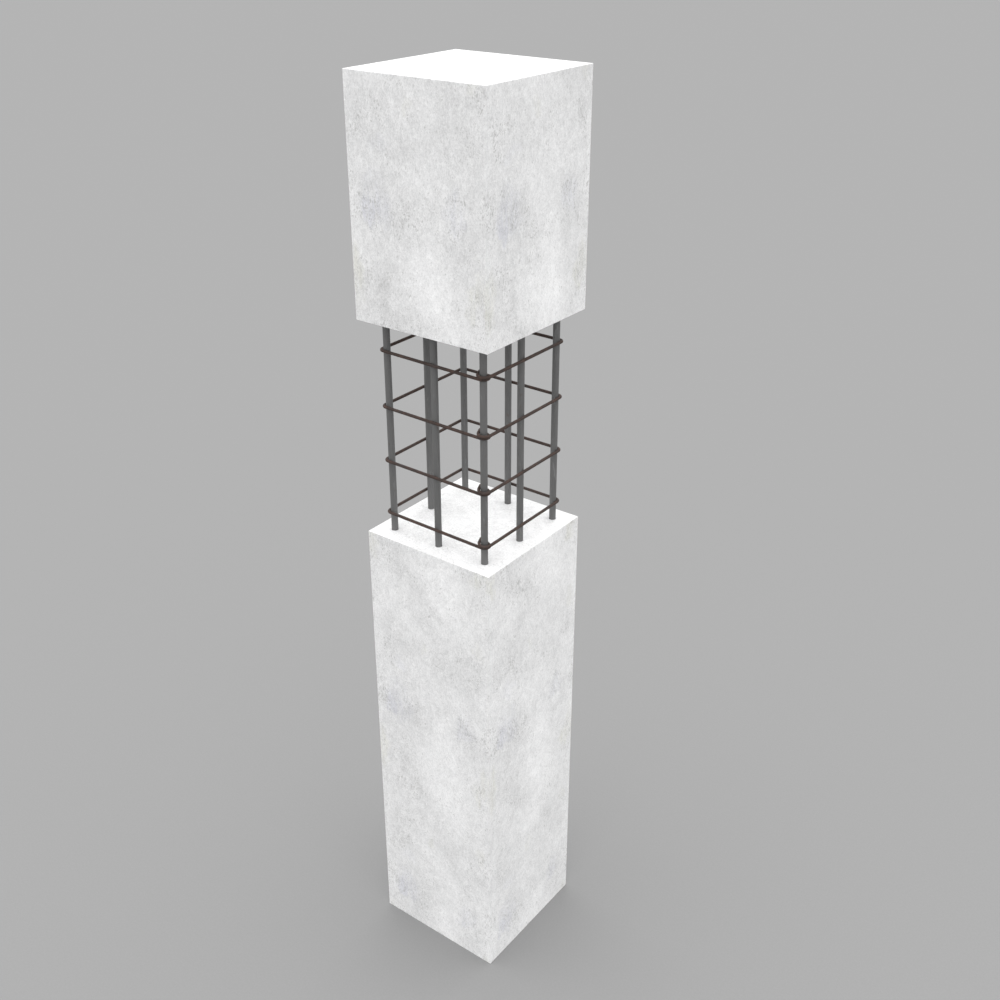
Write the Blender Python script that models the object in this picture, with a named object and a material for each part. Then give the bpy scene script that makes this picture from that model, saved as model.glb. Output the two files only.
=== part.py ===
"""A square concrete column whose steel cage is bare between a lower and an upper block.

Lengths are in metres and Z is up. The origin is the middle of the underside, the front is
-Y and the right side is +X. The ends of every tie are hooked round the front right bar.
"""

import math

import bmesh
import bpy

# The concrete
SIDE = 0.400
LOWER_HEIGHT = 1.343
BARE_HEIGHT = 0.584
UPPER_HEIGHT = 0.580
ARRIS = 0.002
COVER = 0.033
END_COVER = 0.040

# The upright bars
BAR_DIAMETER = 0.018

# The ties, level rings of wire round the bars
TIE_DIAMETER = 0.008
FIRST_TIE_HEIGHT = 0.054
TIE_SPACING = 0.150
HOOK_TURN = math.radians(155)
HOOK_TAIL = 0.020
HOOK_LEVEL_RUN = 0.010

# The upper hook lies up and out from the lower one in front of the bar. Left of the bar it
# crosses over the other wire: it rises first and then comes in, between these headings.
NESTLE_UP = 0.0066
NESTLE_OUT = 0.0052
CROSS_UP = 0.0085
RISE_HEADINGS = (math.radians(30), math.radians(-20))
COME_IN_HEADINGS = (math.radians(20), math.radians(-50))

# The gap between pieces that touch on the real column
CLEARANCE = 0.0003

# How finely round shapes are cut
ARRIS_SEGMENTS = 2
BAR_SIDES = 24
TIE_BEVEL_RESOLUTION = 4
BEND_STEP = math.radians(15)
POCKET_OVERRUN = 0.010

# What follows from the sizes above
BAR_RADIUS = BAR_DIAMETER / 2
TIE_RADIUS = TIE_DIAMETER / 2
BEND_RADIUS = BAR_RADIUS + CLEARANCE + TIE_RADIUS
BAR_PLACE = SIDE / 2 - COVER - TIE_RADIUS - BEND_RADIUS
BARE_TOP = LOWER_HEIGHT + BARE_HEIGHT
TOTAL_HEIGHT = BARE_TOP + UPPER_HEIGHT
HOOK_TOP = CROSS_UP - NESTLE_UP / 2 + TIE_RADIUS
TIE_ROOM = BARE_HEIGHT - FIRST_TIE_HEIGHT - HOOK_TOP - CLEARANCE
TIE_COUNT = 1 + int(TIE_ROOM / TIE_SPACING)

ROWS = {"front": -1, "middle": 0, "back": 1}
COLUMNS = {"left": -1, "middle": 0, "right": 1}


def clear_scene():
    for thing in list(bpy.data.objects):
        bpy.data.objects.remove(thing, do_unlink=True)


def make_material(name, colour, roughness, metallic):
    material = bpy.data.materials.new(name)
    material.use_nodes = True
    shader = material.node_tree.nodes["Principled BSDF"]
    shader.inputs["Base Color"].default_value = (*colour, 1.0)
    shader.inputs["Roughness"].default_value = roughness
    shader.inputs["Metallic"].default_value = metallic
    material.diffuse_color = (*colour, 1.0)
    return material


def concrete_material():
    return make_material("concrete", (0.72, 0.72, 0.71), 0.85, 0.0)


def bar_material():
    return make_material("bar steel", (0.16, 0.165, 0.165), 0.55, 0.6)


def tie_material():
    return make_material("rusted tie wire", (0.075, 0.048, 0.040), 0.75, 0.2)


def add_object(name, data, material=None):
    thing = bpy.data.objects.new(name, data)
    bpy.context.scene.collection.objects.link(thing)
    if material:
        data.materials.append(material)
    return thing


def finish_mesh(name, shape):
    mesh = bpy.data.meshes.new(name)
    shape.to_mesh(mesh)
    shape.free()
    return mesh


def bar_places():
    """Each bar's name with its X and Y: three bars to a side, none in the middle."""
    places = {}
    for row, along in ROWS.items():
        for column, across in COLUMNS.items():
            if along or across:
                places[f"bar_{row}_{column}"] = (across * BAR_PLACE, along * BAR_PLACE)
    return places


def add_cylinder(shape, x, y, bottom, top, radius):
    """A closed upright cylinder in the shape."""
    made = bmesh.ops.create_cone(
        shape,
        cap_ends=True,
        segments=BAR_SIDES,
        radius1=radius,
        radius2=radius,
        depth=top - bottom,
    )
    middle = (x, y, (bottom + top) / 2)
    bmesh.ops.translate(shape, verts=made["verts"], vec=middle)


def make_pocket_cutter(name, bottom, top):
    """The room that the bars take up in one block, as a guide to cut with."""
    shape = bmesh.new()
    for x, y in bar_places().values():
        add_cylinder(shape, x, y, bottom, top, BAR_RADIUS + CLEARANCE)
    cutter = add_object(name, finish_mesh(name, shape))
    cutter.hide_render = True
    cutter.display_type = "WIRE"
    return cutter


def make_block(name, bottom, height, cutter, material):
    """A square block cast round the bars, with its arrises slightly blunted."""
    shape = bmesh.new()
    bmesh.ops.create_cube(shape, size=1.0)
    bmesh.ops.scale(shape, verts=shape.verts, vec=(SIDE, SIDE, height))
    block = add_object(name, finish_mesh(name, shape), material)
    block.location.z = bottom + height / 2
    arris = block.modifiers.new("arris", "BEVEL")
    arris.width = ARRIS
    arris.segments = ARRIS_SEGMENTS
    pockets = block.modifiers.new("bar pockets", "BOOLEAN")
    pockets.operation = "DIFFERENCE"
    pockets.solver = "EXACT"
    pockets.object = cutter
    return block


def make_blocks():
    """The two blocks. The bars' pockets open only into the bare stretch between them."""
    material = concrete_material()
    lower_pockets = make_pocket_cutter(
        "lower_pockets",
        END_COVER - CLEARANCE,
        LOWER_HEIGHT + POCKET_OVERRUN,
    )
    make_block("lower_block", 0.0, LOWER_HEIGHT, lower_pockets, material)
    upper_pockets = make_pocket_cutter(
        "upper_pockets",
        BARE_TOP - POCKET_OVERRUN,
        TOTAL_HEIGHT - END_COVER + CLEARANCE,
    )
    make_block("upper_block", BARE_TOP, UPPER_HEIGHT, upper_pockets, material)


def make_bars():
    """The upright bars, which run on inside both blocks and stop short of their far ends."""
    material = bar_material()
    length = TOTAL_HEIGHT - 2 * END_COVER
    for name, (x, y) in bar_places().items():
        shape = bmesh.new()
        add_cylinder(shape, 0.0, 0.0, 0.0, length, BAR_RADIUS)
        mesh = finish_mesh(name, shape)
        mesh.shade_smooth()
        mesh.set_sharp_from_angle(angle=math.radians(40))
        bar = add_object(name, mesh, material)
        bar.location = (x, y, END_COVER)


def bend_point(corner, heading, height, out=0.0):
    """The point on the bend round the bar at a corner where the wire has the given heading."""
    radius = BEND_RADIUS + out
    x = corner[0] + radius * math.sin(heading)
    y = corner[1] - radius * math.cos(heading)
    return (x, y, height)


def bend_headings(start, turn):
    """The headings of the wire at the points of a bend to the left."""
    steps = max(1, round(turn / BEND_STEP))
    return [start + turn * step / steps for step in range(steps + 1)]


def bend_points(corner, start, turn, height):
    """Points on a level bend, with the bar on the wire's left all the way."""
    return [bend_point(corner, heading, height) for heading in bend_headings(start, turn)]


def eased(heading, headings):
    """0 before the first of two headings, 1 past the second, and a smooth change between."""
    first, second = headings
    share = min(max((heading - first) / (second - first), 0.0), 1.0)
    return share * share * (3 - 2 * share)


def upper_hook_points(corner, end, height):
    """Points on the upper hook, which ends with the given heading at its nestled height."""
    points = []
    for heading in bend_headings(end - HOOK_TURN, HOOK_TURN):
        risen = (CROSS_UP - NESTLE_UP) * eased(heading, RISE_HEADINGS)
        out = NESTLE_OUT * (1 - eased(heading, COME_IN_HEADINGS))
        points.append(bend_point(corner, heading, height + risen, out))
    return points


def ahead(point, heading, distance):
    """The point at a distance along a heading, on the same level."""
    x = point[0] + distance * math.cos(heading)
    y = point[1] + distance * math.sin(heading)
    return (x, y, point[2])


def tie_path(height):
    """The middle line of one tie, from the tip of one hook round to the tip of the other.

    The upper hook comes first. Both hooks go round the front right bar, one on the other,
    and the wire comes to its own level along the side that leads away from each of them.
    """
    east, north, west, south = (math.radians(angle) for angle in (0, 90, 180, 270))
    quarter = math.radians(90)
    front_right = (BAR_PLACE, -BAR_PLACE)
    back_right = (BAR_PLACE, BAR_PLACE)
    back_left = (-BAR_PLACE, BAR_PLACE)
    front_left = (-BAR_PLACE, -BAR_PLACE)

    hook = upper_hook_points(front_right, north, height + NESTLE_UP / 2)
    path = [ahead(hook[0], north - HOOK_TURN, -HOOK_TAIL)]
    path += hook
    path.append(ahead(hook[-1], north, HOOK_LEVEL_RUN))
    path += bend_points(back_right, north, quarter, height)
    path += bend_points(back_left, west, quarter, height)
    path += bend_points(front_left, south, quarter, height)
    hook = bend_points(front_right, east, HOOK_TURN, height - NESTLE_UP / 2)
    path.append(ahead(hook[0], east, -HOOK_LEVEL_RUN))
    path += hook
    path.append(ahead(hook[-1], east + HOOK_TURN, HOOK_TAIL))
    return path


def make_tie(name, height, material):
    wire = bpy.data.curves.new(name, "CURVE")
    wire.dimensions = "3D"
    wire.bevel_depth = TIE_RADIUS
    wire.bevel_resolution = TIE_BEVEL_RESOLUTION
    wire.use_fill_caps = True
    path = tie_path(height)
    spline = wire.splines.new("POLY")
    spline.points.add(len(path) - 1)
    for point, place in zip(spline.points, path):
        point.co = (*place, 1.0)
    spline.use_smooth = True
    add_object(name, wire, material)


def make_ties():
    """The ties, numbered from the bottom up."""
    material = tie_material()
    for index in range(TIE_COUNT):
        height = LOWER_HEIGHT + FIRST_TIE_HEIGHT + index * TIE_SPACING
        make_tie(f"tie_{index + 1}", height, material)


def main():
    clear_scene()
    make_blocks()
    make_bars()
    make_ties()


main()
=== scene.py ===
"""Looks of a square concrete column with a bare steel cage between its two blocks.

Lengths are in metres and Z is up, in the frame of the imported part. The blocks, bars and ties
are modelled here over the part's solids, which give every place and size.
"""

import math
from collections import namedtuple

import bmesh
import bpy
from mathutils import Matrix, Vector


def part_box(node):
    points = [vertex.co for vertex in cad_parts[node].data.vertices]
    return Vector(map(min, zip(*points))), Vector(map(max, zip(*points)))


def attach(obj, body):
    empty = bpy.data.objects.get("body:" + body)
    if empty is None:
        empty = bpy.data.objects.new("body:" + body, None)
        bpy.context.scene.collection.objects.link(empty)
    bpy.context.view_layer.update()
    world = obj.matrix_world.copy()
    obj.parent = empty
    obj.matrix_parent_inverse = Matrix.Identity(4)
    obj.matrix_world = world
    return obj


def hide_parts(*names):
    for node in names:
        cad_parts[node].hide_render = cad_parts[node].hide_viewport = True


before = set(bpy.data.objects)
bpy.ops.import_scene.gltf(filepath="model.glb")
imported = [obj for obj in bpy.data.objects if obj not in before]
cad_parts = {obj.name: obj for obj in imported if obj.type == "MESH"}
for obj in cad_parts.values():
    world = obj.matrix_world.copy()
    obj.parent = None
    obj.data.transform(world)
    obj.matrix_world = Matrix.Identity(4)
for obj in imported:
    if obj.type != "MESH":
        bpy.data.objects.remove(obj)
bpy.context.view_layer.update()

# The camera, fitted to the corners of the blocks in the photo. Its angles are in degrees.
CAMERA_PLACE = (1.76798, -2.23831, 2.89930)
CAMERA_TURN = 36.929
CAMERA_DOWN = 27.520
CAMERA_LENS = 43.716
SENSOR_WIDTH = 36.0
CAMERA_REACH = 2000.0

# The studio
FLOOR_REACH = 400.0
LIGHT_OVERHEAD = 2.15
LIGHT_LOW_DOWN = 1.20
FLOOR_TONE = 0.250
FLOOR_GRAIN_SIZE = 0.006
FLOOR_GRAIN_SHARE = 0.14
BACKDROP_TONE = 0.458

# The cast blocks
ARRIS = 0.0011
ARRIS_SEGMENTS = 3
CAST_CELL = 0.008
BOARD_WAVE = 0.00030
BOARD_WAVE_LENGTH = 0.150
SKIN_WAVE = 0.00015
SKIN_WAVE_LENGTH = 0.030
POCKET_CLEARANCE = 0.0003
POCKET_SIDES = 48
POCKET_OVERRUN = 0.010
SEAM_WIDTH = 0.00001
SHARP_ARRIS = math.radians(40)

# The bars
BAR_SIDES = 36
BAR_CELL = 0.030
BAR_CHAMFER = 0.0012
SCALE_DEPTH = 0.00008
SCALE_LENGTH = 0.012
SHARP_RIM = math.radians(35)

# The ties, and their two hooks round the front right bar
TIE_RADIUS = 0.004
TIE_SIDES = 20
HOOK_TURN = math.radians(155)
HOOK_TAIL = 0.020
HOOK_LEVEL_RUN = 0.010
BEND_STEP = math.radians(7.5)
CROPPED_EDGE = 0.0007

# How far the upper hook lies up and out from the lower one, and between which headings it
# rises and comes in to cross the other wire
NESTLE_UP = 0.0066
NESTLE_OUT = 0.0052
CROSS_UP = 0.0085
RISE_HEADINGS = (math.radians(30), math.radians(-20))
COME_IN_HEADINGS = (math.radians(20), math.radians(-50))

# The colours of the concrete's skin
CEMENT = (0.722, 0.722, 0.724)
BLUISH_CEMENT = (0.655, 0.658, 0.690)
WARM_CEMENT = (0.668, 0.666, 0.634)
PORE_CEMENT = (0.330, 0.325, 0.315)

# The colours of the steel
MILL_SCALE = (0.140, 0.140, 0.139)
FLAKED_SCALE = (0.185, 0.185, 0.184)
BAR_RUST = (0.128, 0.096, 0.076)
DARK_RUST = (0.034, 0.022, 0.018)
BROWN_RUST = (0.060, 0.035, 0.027)
BARE_WIRE = (0.045, 0.041, 0.040)

# A face that looks up or down more than this isn't a side of the column
LEVEL_FACING = 0.7

# How far the noise pushes the marks about, across a face and up it
RAGGED_ACROSS = 0.060
RAGGED_UP = 0.120

# The height of one lift of the form, after which its marks come again
LIFT = 0.700

# A soft oval mark: how far across the face and up the lift, with half its width and height
Mark = namedtuple("Mark", "across up half_width half_height strength")

BLUISH_MARKS = (
    Mark(0.080, 0.105, 0.062, 0.105, 0.50),
    Mark(0.056, 0.090, 0.026, 0.060, 0.60),
    Mark(0.315, 0.115, 0.040, 0.080, 0.42),
    Mark(0.092, 0.250, 0.040, 0.034, 0.25),
)
WARM_MARKS = (
    Mark(0.357, 0.620, 0.022, 0.062, 0.60),
    Mark(0.014, 0.625, 0.024, 0.120, 0.65),
    Mark(0.382, 0.660, 0.020, 0.085, 0.45),
    Mark(0.182, 0.340, 0.014, 0.034, 0.30),
    Mark(0.365, 0.405, 0.026, 0.042, 0.35),
)
PALE_MARKS = (
    Mark(0.262, 0.545, 0.085, 0.110, 0.75),
    Mark(0.225, 0.660, 0.090, 0.120, 0.75),
    Mark(0.245, 0.760, 0.060, 0.070, 0.60),
    Mark(0.326, 0.120, 0.020, 0.060, 0.70),
)
DULL_MARKS = (
    Mark(0.105, 0.566, 0.040, 0.030, 0.42),
    Mark(0.138, 0.542, 0.042, 0.030, 0.45),
    Mark(0.168, 0.518, 0.042, 0.030, 0.38),
    Mark(0.093, 0.620, 0.030, 0.080, 0.45),
    Mark(0.045, 0.620, 0.016, 0.070, 0.30),
    Mark(0.100, 0.115, 0.090, 0.130, 0.38),
    Mark(0.330, 0.085, 0.060, 0.120, 0.34),
    Mark(0.300, 0.340, 0.120, 0.110, 0.30),
    Mark(0.090, 0.340, 0.100, 0.090, 0.35),
    Mark(0.343, 0.085, 0.005, 0.085, 0.25),
)
SPECK_MARKS = (
    Mark(0.135, 0.110, 0.060, 0.075, 0.85),
    Mark(0.070, 0.120, 0.050, 0.080, 0.55),
    Mark(0.313, 0.125, 0.045, 0.085, 0.85),
    Mark(0.010, 0.130, 0.045, 0.085, 1.00),
    Mark(0.045, 0.290, 0.040, 0.050, 0.85),
    Mark(0.087, 0.325, 0.036, 0.036, 0.90),
    Mark(0.350, 0.300, 0.040, 0.040, 0.75),
    Mark(0.378, 0.365, 0.040, 0.050, 0.75),
    Mark(0.075, 0.640, 0.070, 0.090, 0.70),
    Mark(0.115, 0.545, 0.070, 0.050, 0.65),
    Mark(0.380, 0.620, 0.055, 0.070, 0.90),
)


class Value:
    """A number that changes over a surface, or a colour or place. Arithmetic adds nodes."""

    def __init__(self, finish, socket):
        self.finish = finish
        self.socket = socket

    def __add__(self, other):
        return self.finish.math("ADD", self, other)

    def __radd__(self, other):
        return self.finish.math("ADD", other, self)

    def __sub__(self, other):
        return self.finish.math("SUBTRACT", self, other)

    def __rsub__(self, other):
        return self.finish.math("SUBTRACT", other, self)

    def __mul__(self, other):
        return self.finish.math("MULTIPLY", self, other)

    def __rmul__(self, other):
        return self.finish.math("MULTIPLY", other, self)

    def __truediv__(self, other):
        return self.finish.math("DIVIDE", self, other)

    def __gt__(self, other):
        return self.finish.math("GREATER_THAN", self, other)

    def __abs__(self):
        return self.finish.math("ABSOLUTE", self)


class Finish:
    """The nodes of one material or of the studio's light."""

    def __init__(self, owner):
        owner.use_nodes = True
        self.tree = owner.node_tree

    def node(self, kind, settings=None, inputs=None, output=0):
        """A node with its settings made first, then its sockets fed with numbers or values."""
        made = self.tree.nodes.new(kind)
        for name, setting in (settings or {}).items():
            setattr(made, name, setting)
        for name, fed in (inputs or {}).items():
            self.feed(made.inputs[name], fed)
        return Value(self, made.outputs[output])

    def feed(self, socket, fed):
        if isinstance(fed, Value):
            self.tree.links.new(fed.socket, socket)
        else:
            socket.default_value = fed

    def math(self, operation, *numbers):
        return self.node("ShaderNodeMath", {"operation": operation}, dict(enumerate(numbers)))

    def vector_math(self, operation, inputs):
        return self.node("ShaderNodeVectorMath", {"operation": operation}, inputs)

    def place(self):
        """The place on the piece, in metres."""
        return self.node("ShaderNodeTexCoord", output="Object")

    def facing(self):
        """The direction that the surface faces."""
        return self.node("ShaderNodeTexCoord", output="Normal")

    def split(self, vector):
        """The three numbers of a place or direction."""
        return [
            self.node("ShaderNodeSeparateXYZ", inputs={"Vector": vector}, output=axis)
            for axis in "XYZ"
        ]

    def stretched(self, place, x, y, z):
        """The place with its axes stretched, so that a pattern on it is squeezed by as much."""
        return self.vector_math("MULTIPLY", {0: place, 1: (x, y, z)})

    def noise(self, place, size, detail=2.0, roughness=0.5, distortion=0.0, shift=0.0):
        """A cloudy pattern around one half, with marks of about the given size."""
        moved = self.vector_math("ADD", {0: place, 1: (shift, 0.37 * shift, 0.71 * shift)})
        inputs = {
            "Vector": moved,
            "Scale": 1 / size,
            "Detail": detail,
            "Roughness": roughness,
            "Distortion": distortion,
        }
        return self.node("ShaderNodeTexNoise", inputs=inputs)

    def cells(self, place, size):
        """The distance to the nearest of many scattered points, with cells of the given size."""
        return self.node("ShaderNodeTexVoronoi", inputs={"Vector": place, "Scale": 1 / size})

    def rise(self, value, low, high):
        """0 up to the low mark, 1 from the high mark, and a smooth rise between them."""
        inputs = {"Value": value, "From Min": low, "From Max": high}
        settings = {"interpolation_type": "SMOOTHSTEP"}
        return self.node("ShaderNodeMapRange", settings, inputs)

    def mix(self, share, first, second):
        """The first colour with a share of the second over it."""
        inputs = {0: share, 6: self.colour(first), 7: self.colour(second)}
        return self.node("ShaderNodeMix", {"data_type": "RGBA"}, inputs, output=2)

    def colour(self, colour):
        return colour if isinstance(colour, Value) else (*colour, 1.0)

    def shade(self, colour, tone):
        """The colour made darker or lighter by a tone around 1."""
        return self.vector_math("SCALE", {0: colour, "Scale": tone})

    def bump(self, height, depth, strength=1.0):
        """The surface's direction over a relief of the given depth in metres."""
        inputs = {"Height": height, "Distance": depth, "Strength": strength}
        return self.node("ShaderNodeBump", inputs=inputs)


def new_surface(name, roughness, metallic):
    """A material with its Finish and its shader, roughness and metal set to begin with."""
    material = bpy.data.materials.new(name)
    finish = Finish(material)
    shader = material.node_tree.nodes["Principled BSDF"]
    shader.inputs["Roughness"].default_value = roughness
    shader.inputs["Metallic"].default_value = metallic
    return material, finish, shader


# Concrete


def face_place(finish):
    """How far across its face a point is, and 1 on a side face or 0 on a level one.

    Across runs from the left edge as the face is seen from outside, on all four sides.
    """
    x, y, _ = finish.split(finish.place())
    facing_x, facing_y, facing_z = finish.split(finish.facing())
    on_x_face = abs(facing_x) > abs(facing_y)
    along_y = finish.math("SIGN", facing_x) * y
    along_x = finish.math("SIGN", facing_y) * x
    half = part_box("lower_block")[1].x
    across = half + on_x_face * along_y - (1 - on_x_face) * along_x
    on_side = 1 - (abs(facing_z) > LEVEL_FACING)
    return across, on_side


def mark_field(finish, across, height, marks, lower_edge=1.0):
    """Soft oval marks, which come again on each face and with each lift of the form.

    The lower edge is how many times sharper a mark ends below than above.
    """
    width = 2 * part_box("lower_block")[1].x
    field = 0.0
    for mark in marks:
        sideways = finish.math("WRAP", across - mark.across, width / 2, -width / 2)
        upward = finish.math("WRAP", height - mark.up, LIFT / 2, -LIFT / 2)
        upward = finish.math("MAXIMUM", upward, -lower_edge * upward)
        sideways = sideways / mark.half_width
        upward = upward / mark.half_height
        apart = sideways * sideways + upward * upward
        field = field + mark.strength * (1 - finish.rise(apart, 0.0, 1.0))
    return field


def ragged_place(finish, place):
    """The place across the face and up the column, pushed about so that marks are ragged.

    With them comes 1 on a side face or 0 on a level one.
    """
    across, on_side = face_place(finish)
    height = finish.split(place)[2]
    push_across = finish.noise(place, 0.040, detail=4.0, roughness=0.6, shift=3.1) - 0.5
    push_up = finish.noise(place, 0.050, detail=4.0, roughness=0.6, shift=7.7) - 0.5
    return across + RAGGED_ACROSS * push_across, height + RAGGED_UP * push_up, on_side


def skin_tone(finish, place, streaky):
    """How light the cement skin is: broad clouds, mottle, grain and dust, around 1."""
    clouds = finish.noise(place, 0.160, detail=3.0, roughness=0.55, distortion=0.4) - 0.5
    mottle = finish.noise(streaky, 0.024, detail=5.0, roughness=0.75, distortion=0.7, shift=5.0)
    grain = finish.noise(streaky, 0.006, detail=4.0, roughness=0.85, distortion=0.6, shift=9.0)
    dust = finish.noise(streaky, 0.0030, detail=1.0, shift=10.0)
    tone = 1.004 + 0.28 * clouds + 0.50 * (mottle - 0.5)
    return tone + 0.74 * (grain - 0.5) + 0.30 * (dust - 0.5)


def wisp_tone(finish, streaky):
    """Thin pale and dark wisps that the trowel and the form leave, around 0."""
    veins = finish.noise(streaky, 0.045, detail=6.0, roughness=0.62, distortion=1.6, shift=13.0)
    pale = 1 - finish.rise(abs(veins - 0.47), 0.0, 0.018)
    dark = 1 - finish.rise(abs(veins - 0.56), 0.0, 0.012)
    return 0.024 * pale - 0.042 * dark


def speck_field(finish, place, clusters):
    """Where the small dark specks are, 1 in a speck: close together in the clusters."""
    upright = finish.stretched(place, 1.3, 1.3, 0.70)
    dense = finish.rise(finish.noise(place, 0.060, detail=3.0, shift=17.0), 0.46, 0.70)
    coarse = finish.noise(upright, 0.0080, detail=2.0, roughness=0.5, distortion=1.0, shift=21.0)
    fine = finish.noise(upright, 0.0046, detail=2.0, roughness=0.5, distortion=0.7, shift=23.0)
    coarse_edge = 0.715 - 0.085 * clusters - 0.070 * dense
    fine_edge = 0.677 - 0.088 * clusters - 0.075 * dense
    coarse_specks = finish.rise(coarse, coarse_edge, coarse_edge + 0.045)
    fine_specks = finish.rise(fine, fine_edge, fine_edge + 0.045)
    return finish.math("MAXIMUM", coarse_specks, 0.85 * fine_specks)


def pore_field(finish, place):
    """The small air holes of the cast face, 1 in a hole."""
    spots = finish.cells(place, 0.016)
    kept = finish.noise(place, 0.023, detail=1.0, shift=29.0)
    reach = 0.075 * finish.rise(kept, 0.46, 0.70)
    return (1 - finish.rise(spots, 0.4 * reach, reach + 0.001)) * finish.rise(kept, 0.46, 0.50)


def concrete_finish():
    """Pale cast concrete: a cloudy skin with faint stains, specks, wisps and air holes, and
    painted light that makes its level faces a little lighter.
    """
    material, finish, shader = new_surface("pale cast concrete", 0.85, 0.0)
    place = finish.place()
    streaky = finish.stretched(place, 1.15, 1.15, 0.80)
    across, height, on_side = ragged_place(finish, place)

    bluish = on_side * mark_field(finish, across, height, BLUISH_MARKS, 2.2)
    warm = on_side * mark_field(finish, across, height, WARM_MARKS, 1.6)
    pale = on_side * mark_field(finish, across, height, PALE_MARKS)
    dull = on_side * mark_field(finish, across, height, DULL_MARKS)
    clusters = on_side * mark_field(finish, across, height, SPECK_MARKS)

    streaks = finish.noise(streaky, 0.012, detail=5.0, roughness=0.7, distortion=1.0, shift=31.0)
    runs = finish.stretched(place, 1.6, 1.6, 0.25)
    runs = finish.noise(runs, 0.014, detail=4.0, roughness=0.65, distortion=0.4, shift=33.0)
    runs = finish.rise(runs, 0.34, 0.66)
    tone = skin_tone(finish, place, streaky) + wisp_tone(finish, streaky)
    tone = tone + 0.080 * pale * (0.2 + 1.6 * streaks) - 0.150 * dull * (0.1 + 1.8 * streaks)
    # Painted light: level faces are made a little lighter than the sides, as if lit more from
    # above
    tone = tone + 0.030 * (1 - on_side)
    specks = speck_field(finish, place, clusters)
    pores = pore_field(finish, place)

    colour = finish.mix(bluish * (0.35 + 1.3 * runs), CEMENT, BLUISH_CEMENT)
    colour = finish.mix(warm * (0.35 + 1.3 * runs), colour, WARM_CEMENT)
    colour = finish.shade(colour, tone)
    colour = finish.mix(0.50 * specks, colour, PORE_CEMENT)
    colour = finish.mix(0.35 * pores, colour, PORE_CEMENT)
    finish.feed(shader.inputs["Base Color"], colour)

    grain = finish.noise(place, 0.004, detail=4.0, roughness=0.7, shift=37.0)
    finish.feed(shader.inputs["Roughness"], 0.76 + 0.16 * grain + 0.06 * specks)
    relief = 0.5 * grain + 0.6 * streaks - 0.5 * specks - 1.4 * pores
    finish.feed(shader.inputs["Normal"], finish.bump(relief, 0.0005, 0.6))
    shader.inputs["Specular IOR Level"].default_value = 0.25
    return material


# Steel


def bar_finish():
    """Grey hot rolled bar with dull mill scale, flaked here and there."""
    material, finish, shader = new_surface("mill scaled bar steel", 0.55, 0.35)
    place = finish.place()
    along = finish.stretched(place, 1.0, 1.0, 0.22)
    scale = finish.noise(along, 0.010, detail=5.0, roughness=0.65, distortion=0.4, shift=2.0)
    broad = finish.noise(along, 0.060, detail=3.0, shift=5.0)
    flaked = finish.rise(scale, 0.60, 0.68)
    rusty = finish.rise(finish.noise(place, 0.018, detail=4.0, shift=11.0), 0.62, 0.76)

    tone = 1 + 0.30 * (scale - 0.5) + 0.30 * (broad - 0.5)
    colour = finish.mix(flaked, MILL_SCALE, FLAKED_SCALE)
    colour = finish.mix(0.35 * rusty, colour, BAR_RUST)
    finish.feed(shader.inputs["Base Color"], finish.shade(colour, tone))
    finish.feed(shader.inputs["Roughness"], 0.50 + 0.22 * scale + 0.10 * rusty)
    finish.feed(shader.inputs["Normal"], finish.bump(scale - 0.5 * flaked, 0.0003, 0.5))
    return material


def tie_finish():
    """Dark wire with an even brown film of rust, grainy close to."""
    material, finish, shader = new_surface("rusted tie wire", 0.80, 0.0)
    place = finish.place()
    rust = finish.noise(place, 0.012, detail=5.0, roughness=0.65, shift=4.0)
    grain = finish.noise(place, 0.0022, detail=3.0, roughness=0.7, shift=8.0)
    bare = finish.rise(finish.noise(place, 0.030, detail=3.0, shift=19.0), 0.58, 0.72)

    colour = finish.mix(finish.rise(rust, 0.40, 0.64), DARK_RUST, BROWN_RUST)
    colour = finish.mix(0.40 * bare, colour, BARE_WIRE)
    finish.feed(shader.inputs["Base Color"], finish.shade(colour, 0.80 + 0.40 * grain))
    finish.feed(shader.inputs["Roughness"], 0.70 + 0.20 * rust + 0.08 * grain)
    finish.feed(shader.inputs["Normal"], finish.bump(rust + 0.6 * grain, 0.0003, 0.6))
    return material


def floor_finish():
    """Plain pale grey studio floor with a faint grain."""
    material, finish, shader = new_surface("plain pale floor", 0.95, 0.0)
    grain = finish.noise(finish.place(), FLOOR_GRAIN_SIZE, detail=3.0, roughness=0.7)
    darkest = 1 - FLOOR_GRAIN_SHARE / 2
    tone = FLOOR_TONE * (darkest + FLOOR_GRAIN_SHARE * grain)
    finish.feed(shader.inputs["Base Color"], finish.shade((1.0, 1.0, 1.0), tone))
    shader.inputs["Specular IOR Level"].default_value = 0.0
    return material


# Modelling


def start_piece(name):
    """Names the primitive just added and puts its place and size into its mesh."""
    piece = bpy.context.object
    piece.name = name
    piece.data.name = name
    bpy.ops.object.transform_apply(location=True, rotation=True, scale=True)
    return piece


def open_mesh(kind):
    """Goes into edit mode with nothing selected, ready to select one kind of element."""
    bpy.ops.object.mode_set(mode="EDIT")
    bpy.ops.mesh.select_mode(type=kind)
    bpy.ops.mesh.select_all(action="DESELECT")
    return bmesh.from_edit_mesh(bpy.context.object.data)


def close_mesh():
    bpy.ops.mesh.select_all(action="SELECT")
    bpy.ops.mesh.normals_make_consistent(inside=False)
    bpy.ops.mesh.select_all(action="DESELECT")
    bpy.ops.object.mode_set(mode="OBJECT")


def select_only(piece):
    bpy.ops.object.select_all(action="DESELECT")
    piece.select_set(True)
    bpy.context.view_layer.objects.active = piece


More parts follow.
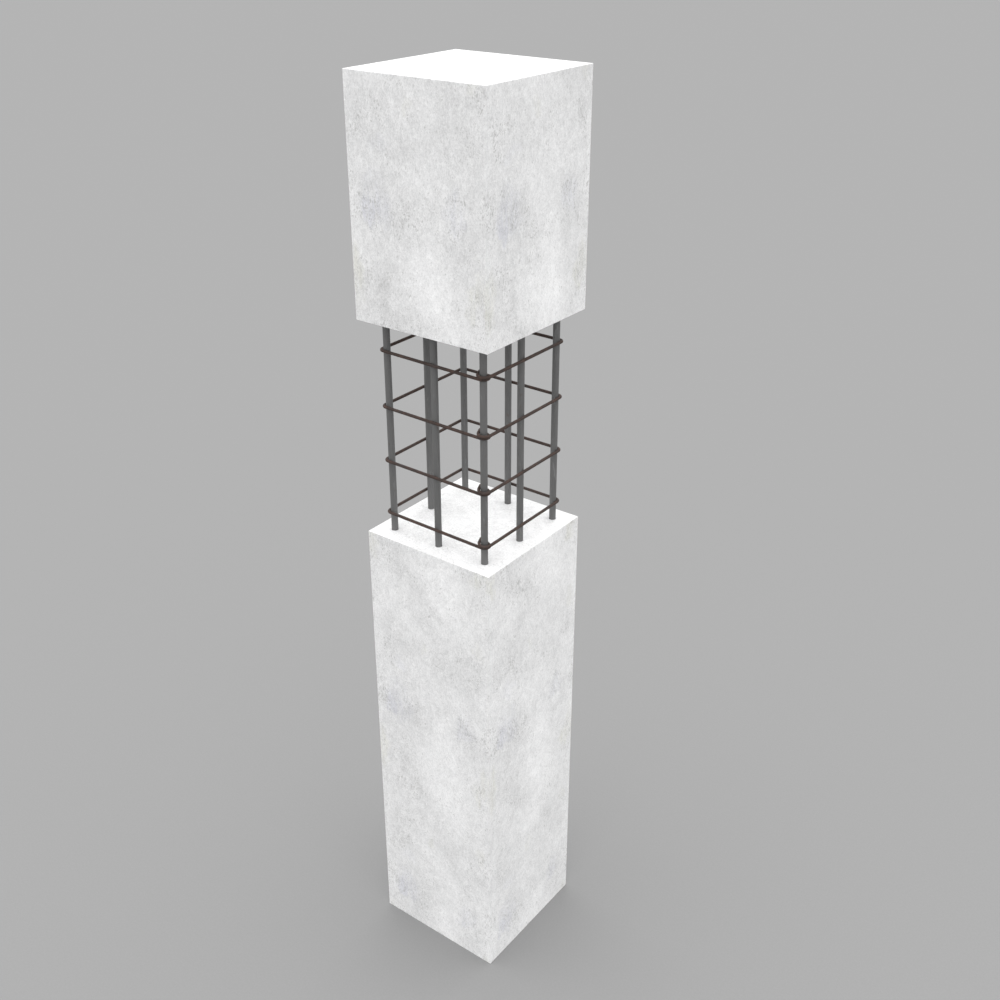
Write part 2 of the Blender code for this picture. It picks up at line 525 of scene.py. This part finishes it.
def cut_edges_along(axis, length, cell):
    """Cuts all edges that run along an axis into pieces of about the cell's length."""
    mesh = open_mesh("EDGE")
    for edge in mesh.edges:
        run = edge.verts[1].co - edge.verts[0].co
        if abs(run[axis]) > 0.99 * run.length:
            edge.select_set(True)
    bpy.ops.mesh.subdivide(number_cuts=max(1, round(length / cell) - 1))
    bpy.ops.object.mode_set(mode="OBJECT")


def apply_modifiers(piece):
    select_only(piece)
    for modifier in list(piece.modifiers):
        bpy.ops.object.modifier_apply(modifier=modifier.name)


def add_wave(piece, name, depth, length, group=""):
    """Pushes the surface inwards by up to the depth, in waves of about the given length."""
    texture = bpy.data.textures.new(name, "CLOUDS")
    texture.noise_scale = length
    texture.noise_depth = 2
    wave = piece.modifiers.new(name, "DISPLACE")
    wave.texture = texture
    wave.mid_level = 1.0
    wave.strength = depth
    wave.vertex_group = group


def finish_piece(piece, material, nodes):
    """Gives a piece its material, its body and the nodes that it stands for."""
    piece.data.materials.clear()
    piece.data.materials.append(material)
    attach(piece, "root")
    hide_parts(*nodes)


def copy_piece(piece, name, move):
    """A copy with a mesh of its own, moved to its place."""
    select_only(piece)
    bpy.ops.object.duplicate(linked=False)
    copy = bpy.context.object
    copy.location = move
    return start_piece(name)


# The blocks


def bar_names():
    return [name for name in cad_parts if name.startswith("bar_")]


def bar_middle(name):
    low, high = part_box(name)
    return (low + high) / 2


def make_pocket_cutter(name, bottom, top):
    """The room that the bars take up in one block, as a guide to cut with."""
    low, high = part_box(bar_names()[0])
    radius = (high.y - low.y) / 2 + POCKET_CLEARANCE
    bpy.ops.object.select_all(action="DESELECT")
    rods = []
    for bar in bar_names():
        middle = bar_middle(bar)
        bpy.ops.mesh.primitive_cylinder_add(
            vertices=POCKET_SIDES,
            radius=radius,
            depth=top - bottom,
            location=(middle.x, middle.y, (bottom + top) / 2),
        )
        rods.append(bpy.context.object)
    for rod in rods:
        rod.select_set(True)
    bpy.context.view_layer.objects.active = rods[0]
    bpy.ops.object.join()
    cutter = start_piece(name)
    cutter.hide_render = True
    return cutter


def mark_cast_faces(piece):
    """The group of vertices that may move: all but the foot and the arrises round it."""
    group = piece.vertex_groups.new(name="cast faces")
    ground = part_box("lower_block")[0].z + 2 * ARRIS
    moving = [vertex.index for vertex in piece.data.vertices if vertex.co.z > ground]
    group.add(moving, 1.0, "REPLACE")
    return group.name


def weld_seams():
    """Joins the corners that a cut left on top of each other."""
    open_mesh("VERT")
    bpy.ops.mesh.select_all(action="SELECT")
    bpy.ops.mesh.remove_doubles(threshold=SEAM_WIDTH)
    bpy.ops.mesh.dissolve_degenerate(threshold=SEAM_WIDTH)
    close_mesh()


def make_block(node, cutter):
    """A square block with blunted arrises, faces a little uneven as cast, and bar pockets."""
    low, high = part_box(node)
    size = high - low
    bpy.ops.object.select_all(action="DESELECT")
    bpy.ops.mesh.primitive_cube_add(size=1.0, location=(low + high) / 2, scale=size)
    block = start_piece(node + "_cast")
    for axis in range(3):
        cut_edges_along(axis, size[axis], CAST_CELL)
    arris = block.modifiers.new("arris", "BEVEL")
    arris.width = ARRIS
    arris.segments = ARRIS_SEGMENTS
    apply_modifiers(block)
    group = mark_cast_faces(block)
    add_wave(block, "board wave", BOARD_WAVE, BOARD_WAVE_LENGTH, group)
    add_wave(block, "skin wave", SKIN_WAVE, SKIN_WAVE_LENGTH, group)
    pockets = block.modifiers.new("bar pockets", "BOOLEAN")
    pockets.operation = "DIFFERENCE"
    pockets.solver = "EXACT"
    pockets.object = cutter
    apply_modifiers(block)
    weld_seams()
    bpy.ops.object.shade_smooth_by_angle(angle=SHARP_ARRIS)
    even = block.modifiers.new("even faces", "WEIGHTED_NORMAL")
    even.keep_sharp = True
    apply_modifiers(block)
    bpy.data.objects.remove(cutter, do_unlink=True)
    return block


def make_blocks():
    material = concrete_finish()
    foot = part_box("lower_block")[1].z + POCKET_OVERRUN
    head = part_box("upper_block")[0].z - POCKET_OVERRUN
    bar_low, bar_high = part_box(bar_names()[0])
    cutters = {
        "lower_block": make_pocket_cutter("lower_pockets", bar_low.z - POCKET_CLEARANCE, foot),
        "upper_block": make_pocket_cutter("upper_pockets", head, bar_high.z + POCKET_CLEARANCE),
    }
    for node, cutter in cutters.items():
        block = make_block(node, cutter)
        finish_piece(block, material, [node])


# The bars


def bevel_rims(width):
    """Chamfers the rims of the flat ends of a round piece."""
    mesh = open_mesh("FACE")
    for face in mesh.faces:
        if len(face.verts) > 4:
            face.select_set(True)
    bpy.ops.mesh.region_to_loop()
    bpy.ops.mesh.bevel(offset=width, segments=2)
    bpy.ops.object.mode_set(mode="OBJECT")


def make_first_bar(node):
    """One upright round bar with chamfered ends and a slightly uneven skin of mill scale."""
    low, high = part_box(node)
    bpy.ops.object.select_all(action="DESELECT")
    bpy.ops.mesh.primitive_cylinder_add(
        vertices=BAR_SIDES,
        radius=(high.y - low.y) / 2,
        depth=high.z - low.z,
        location=(low + high) / 2,
    )
    bar = start_piece(node + "_rolled")
    bevel_rims(BAR_CHAMFER)
    cut_edges_along(2, high.z - low.z, BAR_CELL)
    add_wave(bar, "mill scale", SCALE_DEPTH, SCALE_LENGTH)
    apply_modifiers(bar)
    bpy.ops.object.shade_smooth_by_angle(angle=SHARP_RIM)
    return bar


def make_bars():
    material = bar_finish()
    first, *others = bar_names()
    bar = make_first_bar(first)
    pieces = {first: bar}
    for node in others:
        move = bar_middle(node) - bar_middle(first)
        pieces[node] = copy_piece(bar, node + "_rolled", move)
    for node, piece in pieces.items():
        finish_piece(piece, material, [node])


# The ties


def tie_names():
    return sorted(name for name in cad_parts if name.startswith("tie_"))


def tie_level(name):
    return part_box(name)[0].z + TIE_RADIUS + NESTLE_UP / 2


def draw_wire(run):
    """Draws the wire on in a straight line."""
    bpy.ops.mesh.extrude_region_move(TRANSFORM_OT_translate={"value": run})


def along(heading, distance, rise=0.0):
    """A run along a heading, level or rising."""
    return (distance * math.cos(heading), distance * math.sin(heading), rise)


def bend_wire(corner, turn):
    """Bends the wire to the left round the bar that stands at the corner."""
    steps = max(1, round(turn / BEND_STEP))
    bpy.ops.mesh.spin(steps=steps, angle=-turn, center=corner, axis=(0.0, 0.0, 1.0))


def eased(heading, headings):
    """0 before the first of two headings, 1 past the second, and a smooth change between."""
    first, second = headings
    share = min(max((heading - first) / (second - first), 0.0), 1.0)
    return share * share * (3 - 2 * share)


def upper_hook_points(corner, bend, end):
    """Points with their headings on the upper hook, which ends with the given heading.

    It lies up and out from the lower hook in front of the bar. Left of the bar it crosses
    over the other wire: it rises first and then comes in.
    """
    steps = round(HOOK_TURN / BEND_STEP)
    points = []
    for step in range(steps + 1):
        heading = end - HOOK_TURN + HOOK_TURN * step / steps
        radius = bend + NESTLE_OUT * (1 - eased(heading, COME_IN_HEADINGS))
        rise = NESTLE_UP / 2 + (CROSS_UP - NESTLE_UP) * eased(heading, RISE_HEADINGS)
        turned = Vector((math.sin(heading), -math.cos(heading), 0.0))
        points.append((corner + radius * turned + Vector((0.0, 0.0, rise)), heading))
    return points


def bend_upper_hook(points):
    """Draws the wire on from point to point and turns its end to each new heading.

    The rotate operator counts clockwise as positive, and the wire turns to the left.
    """
    for (place, heading), (next_place, next_heading) in zip(points, points[1:]):
        draw_wire(next_place - place)
        turn = heading - next_heading
        bpy.ops.transform.rotate(value=turn, orient_axis="Z", center_override=next_place)


def make_first_tie(node):
    """One tie, from the tip of its upper hook round to the tip of its lower hook."""
    level = tie_level(node)
    bar = bar_middle("bar_front_right").x
    bend = -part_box(node)[0].x - TIE_RADIUS - bar
    east, north, west, south = (math.radians(angle) for angle in (0, 90, 180, 270))
    quarter = math.radians(90)
    front_right = Vector((bar, -bar, level))
    leg = 2 * bar

    hook = upper_hook_points(front_right, bend, north)
    first_place, start = hook[0]
    tip = first_place - Vector(along(start, HOOK_TAIL))
    bpy.ops.object.select_all(action="DESELECT")
    bpy.ops.mesh.primitive_circle_add(
        vertices=TIE_SIDES,
        radius=TIE_RADIUS,
        fill_type="NGON",
        location=tip,
        rotation=(math.radians(90), 0.0, start + quarter),
    )
    tie = start_piece(node + "_bent")
    open_mesh("FACE")
    bpy.ops.mesh.select_all(action="SELECT")
    draw_wire(along(start, HOOK_TAIL))
    bend_upper_hook(hook)
    draw_wire(along(north, HOOK_LEVEL_RUN))
    slope = Vector((-NESTLE_OUT, leg - HOOK_LEVEL_RUN, -NESTLE_UP / 2))
    draw_wire(slope)
    bend_wire((bar, bar, level), quarter)
    draw_wire(along(west, leg))
    bend_wire((-bar, bar, level), quarter)
    draw_wire(along(south, leg))
    bend_wire((-bar, -bar, level), quarter)
    draw_wire(along(east, leg - HOOK_LEVEL_RUN, -NESTLE_UP / 2))
    draw_wire(along(east, HOOK_LEVEL_RUN))
    bend_wire(front_right, HOOK_TURN)
    draw_wire(along(east + HOOK_TURN, HOOK_TAIL))
    close_mesh()
    bevel_rims(CROPPED_EDGE)
    bpy.ops.object.shade_smooth_by_angle(angle=SHARP_RIM)
    return tie


def make_ties():
    material = tie_finish()
    first, *others = tie_names()
    tie = make_first_tie(first)
    pieces = {first: tie}
    for node in others:
        move = (0.0, 0.0, tie_level(node) - tie_level(first))
        pieces[node] = copy_piece(tie, node + "_bent", move)
    for node, piece in pieces.items():
        finish_piece(piece, material, [node])


# The studio


def make_floor():
    bpy.ops.object.select_all(action="DESELECT")
    bpy.ops.mesh.primitive_plane_add(size=2 * FLOOR_REACH)
    floor = start_piece("studio_floor")
    floor.data.materials.append(floor_finish())


def make_light():
    """A plain white dome, brighter overhead. The camera sees a pale backdrop in its place."""
    world = bpy.data.worlds.new("soft studio dome")
    bpy.context.scene.world = world
    dome = Finish(world)
    outgoing = dome.node("ShaderNodeTexCoord", output="Generated")
    height = dome.math("MAXIMUM", dome.split(outgoing)[2], 0.0)
    strength = LIGHT_LOW_DOWN + (LIGHT_OVERHEAD - LIGHT_LOW_DOWN) * height
    light = dome.node("ShaderNodeBackground", inputs={"Color": (1, 1, 1, 1), "Strength": strength})
    tone = (BACKDROP_TONE, BACKDROP_TONE, BACKDROP_TONE, 1.0)
    backdrop = dome.node("ShaderNodeBackground", inputs={"Color": tone, "Strength": 1.0})
    seen = dome.node("ShaderNodeLightPath", output="Is Camera Ray")
    shown = dome.node("ShaderNodeMixShader", inputs={0: seen, 1: light, 2: backdrop})
    output = world.node_tree.nodes["World Output"]
    dome.feed(output.inputs["Surface"], shown)


def make_camera():
    data = bpy.data.cameras.new("studio camera")
    data.lens = CAMERA_LENS
    data.sensor_width = SENSOR_WIDTH
    data.clip_end = CAMERA_REACH
    camera = bpy.data.objects.new("studio camera", data)
    camera.location = CAMERA_PLACE
    camera.rotation_euler = (math.radians(90 - CAMERA_DOWN), 0.0, math.radians(CAMERA_TURN))
    bpy.context.scene.collection.objects.link(camera)
    bpy.context.scene.camera = camera


bpy.context.scene.view_settings.view_transform = "Standard"
make_camera()
make_light()
make_floor()
make_blocks()
make_bars()
make_ties()
